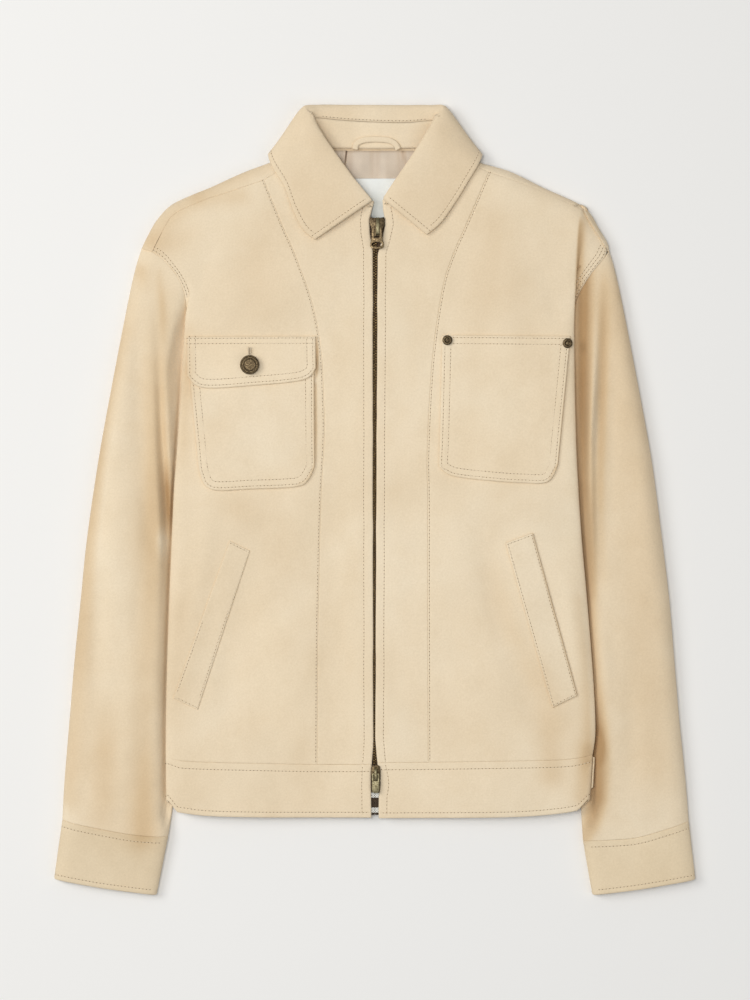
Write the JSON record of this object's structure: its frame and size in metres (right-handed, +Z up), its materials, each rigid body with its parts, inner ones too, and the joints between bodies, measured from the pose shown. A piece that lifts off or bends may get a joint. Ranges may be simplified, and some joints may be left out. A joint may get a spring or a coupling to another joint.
{
  "type": "suede jacket",
  "caption": "Zip-up suede blouson laid flat on its back, with shirt collar, patch pockets, slanted welts, cuffs and waistband; zip pulls swing.",
  "frame": {"origin": "middle of the footprint's bounding box, on the surface that the jacket lies on", "axes": "+X to the wearer's left, +Y from hem to collar, +Z up from the surface through the zipped front"},
  "size_m": [0.5785, 0.7128, 0.0233],
  "materials": {
    "suede": "pale sand suede with a soft brushed nap",
    "suede_shade": "the same suede, seen against its nap",
    "satin": "taupe satin lining",
    "label_cloth": "plain woven label, bare",
    "zip_tape": "woven tape",
    "antique_brass": "antique brass, rubbed bright on edges",
    "dark_brass": "dark aged brass"
  },
  "bodies": {
    "jacket": {"front_centre_right": "suede", "front_side_right": "suede", "waistband_front_right": "suede", "sleeve_right": "suede", "cuff_right": "suede_shade", "zip_tape_right": "zip_tape", "zip_teeth_right": "dark_brass", "front_centre_left": "suede", "front_side_left": "suede", "waistband_front_left": "suede", "sleeve_left": "suede", "cuff_left": "suede_shade", "zip_tape_left": "zip_tape", "zip_teeth_left": "dark_brass", "yoke": "suede", "back_panel": "suede", "waistband_back": "suede", "side_tab_left": "suede", "collar_leaf": "suede", "collar_stand": "suede_shade", "back_lining": "satin", "neck_label": "label_cloth", "hanger_loop": "suede", "chest_pocket": "suede", "chest_flap": "suede", "open_pocket": "suede", "welt_right": "suede", "welt_left": "suede", "flap_button": "dark_brass", "pocket_rivet_1": "dark_brass", "pocket_rivet_2": "dark_brass", "top_slider": "antique_brass", "bottom_slider": "antique_brass"},
    "top_pull": {"top_pull": "antique_brass"},
    "bottom_pull": {"bottom_pull": "antique_brass"}
  },
  "joints": [
    {"name": "top_pull_swing", "type": "hinge", "parent": "jacket", "child": "top_pull", "pos_m": [0.0018, 0.24435, 0.0142], "axis": [-1, 0, 0], "range_deg": [0, 140]},
    {"name": "bottom_pull_swing", "type": "hinge", "parent": "jacket", "child": "bottom_pull", "pos_m": [0.0006, -0.24665, 0.0142], "axis": [-1, 0, 0], "range_deg": [0, 140]}
  ]
}
